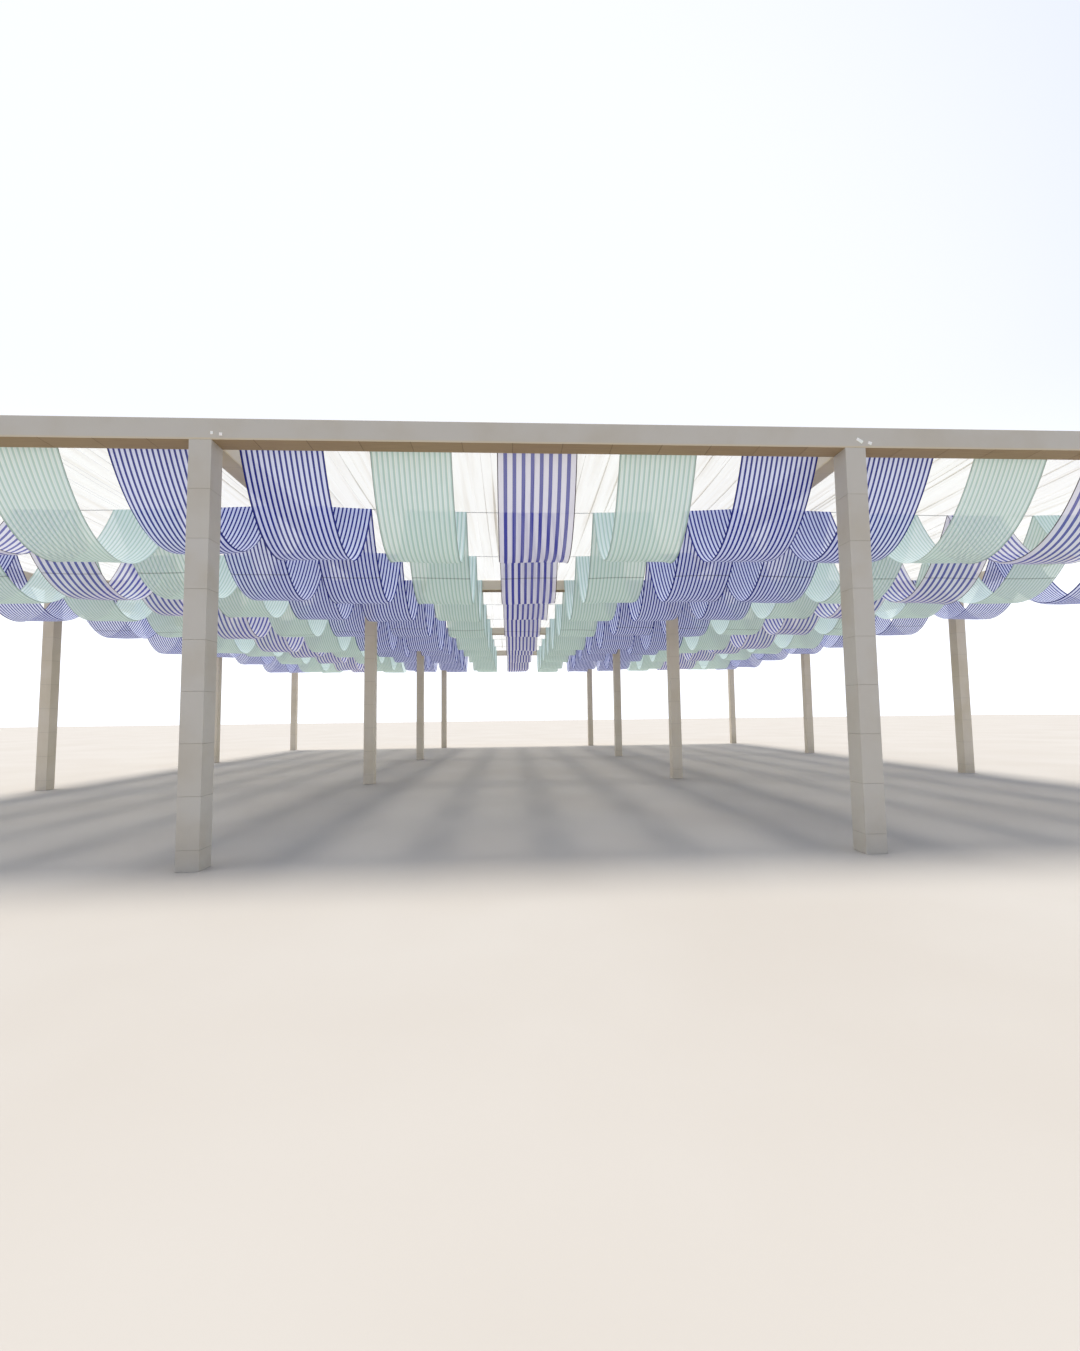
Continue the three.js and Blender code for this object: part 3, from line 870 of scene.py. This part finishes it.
def ceilingSheet(name, column, material):
    low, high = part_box(name)
    left, right = low.x, high.x
    front, back = low.y + voile["setBack"], high.y - voile["setBack"]
    dice = random.Random(voile["firstSeed"] + column)
    flatWidth = (right - left) * voile["gather"]
    folds, place = [], voile["border"]
    while place < flatWidth - voile["border"]:
        folds.append((place, dice.uniform(*voile["foldWidth"]), dice.uniform(0, voile["noiseReach"])))
        place += voile["foldPitch"] * (1 + dice.uniform(-1, 1) * voile["foldSpread"])
    # the supports, as places along y with the level of the sheet there
    holds = []
    for on, off, *_ in stops:
        if off > on:
            holds += [(on, beamTop + voile["overBeam"]), (off, beamTop + voile["overBeam"])]
        else:
            holds.append((on, wireLevel + voile["overWire"]))
    holds[0], holds[-1] = (front, holds[0][1]), (back, holds[-1][1])
    lines = [front]
    for (a, _), (b, _) in zip(holds, holds[1:]):
        count = max(1, round((b - a) / voile["rowStep"]))
        lines += [a + (b - a) * k / count for k in range(1, count + 1)]

    def levelAt(y):                 # the sheet's level, and how free it is to sag
        for (a, za), (b, zb) in zip(holds, holds[1:]):
            if y <= b or b == holds[-1][0]:
                share = min(max((y - a) / (b - a), 0), 1)
                loose = math.sin(math.pi * share) * (1 if b - a > bay / 6 else 0)
                return za + (zb - za) * share - voile["sag"] * loose, loose

    def depthAt(y, seed):           # a fold opens and closes along its length
        swing = voile["depthSwing"] * noise.noise((y * voile["depthScale"], seed, 5))
        return voile["foldDepth"] * max(0, voile["depthShare"] + swing)

    bm = bmesh.new()
    uvLayer = bm.loops.layers.uv.new("cloth")
    acrossCount, alongCount = round(flatWidth / voile["step"]), len(lines) - 1
    bmesh.ops.create_grid(bm, x_segments=acrossCount, y_segments=alongCount, size=1)
    rowFolds = []
    for y in lines:
        rowFolds.append([(s + voile["wander"] * noise.noise((y * voile["wanderScale"], seed, 0)),
                          width, depthAt(y, seed)) for s, width, seed in folds])
    for face in bm.faces:
        for loop in face.loops:
            s = flatWidth * (loop.vert.co.x + 1) / 2
            loop[uvLayer].uv = (s, lines[round((loop.vert.co.y + 1) / 2 * alongCount)])
    acrossScale, alongScale = voile["waveScale"]
    for vert in bm.verts:
        s = flatWidth * (vert.co.x + 1) / 2
        row = round((vert.co.y + 1) / 2 * alongCount)
        y = lines[row]
        level, loose = levelAt(y)
        x, lift = left + s / voile["gather"], voile["lift"]
        for centre, width, depth in rowFolds[row]:
            t = (s - centre) / width
            if abs(t) < voile["foldReach"]:
                turned = t * math.exp(-t * t) / voile["foldPeak"]
                x -= depth * turned
                lift += voile["foldHeight"] * turned * min(1, depth / voile["shallow"])
        wave = noise.noise((s * acrossScale, y * alongScale, 40 + column))
        lift += voile["wave"] * (voile["stillWave"] + loose) * wave
        x = min(max(x, left), right)
        vert.co = (x, y, level - sinkAt(x, y) + lift)
    flatArea = sum(face.calc_area() for face in bm.faces)
    piece = finishPiece(name + "_voile", bm, [material], [name], smooth=True, clean=False)


sheer = whiteVoile()
for column, name in enumerate(("ceiling_left", "ceiling_middle", "ceiling_right")):
    ceilingSheet(name, column, sheer)
print("ceiling laid")
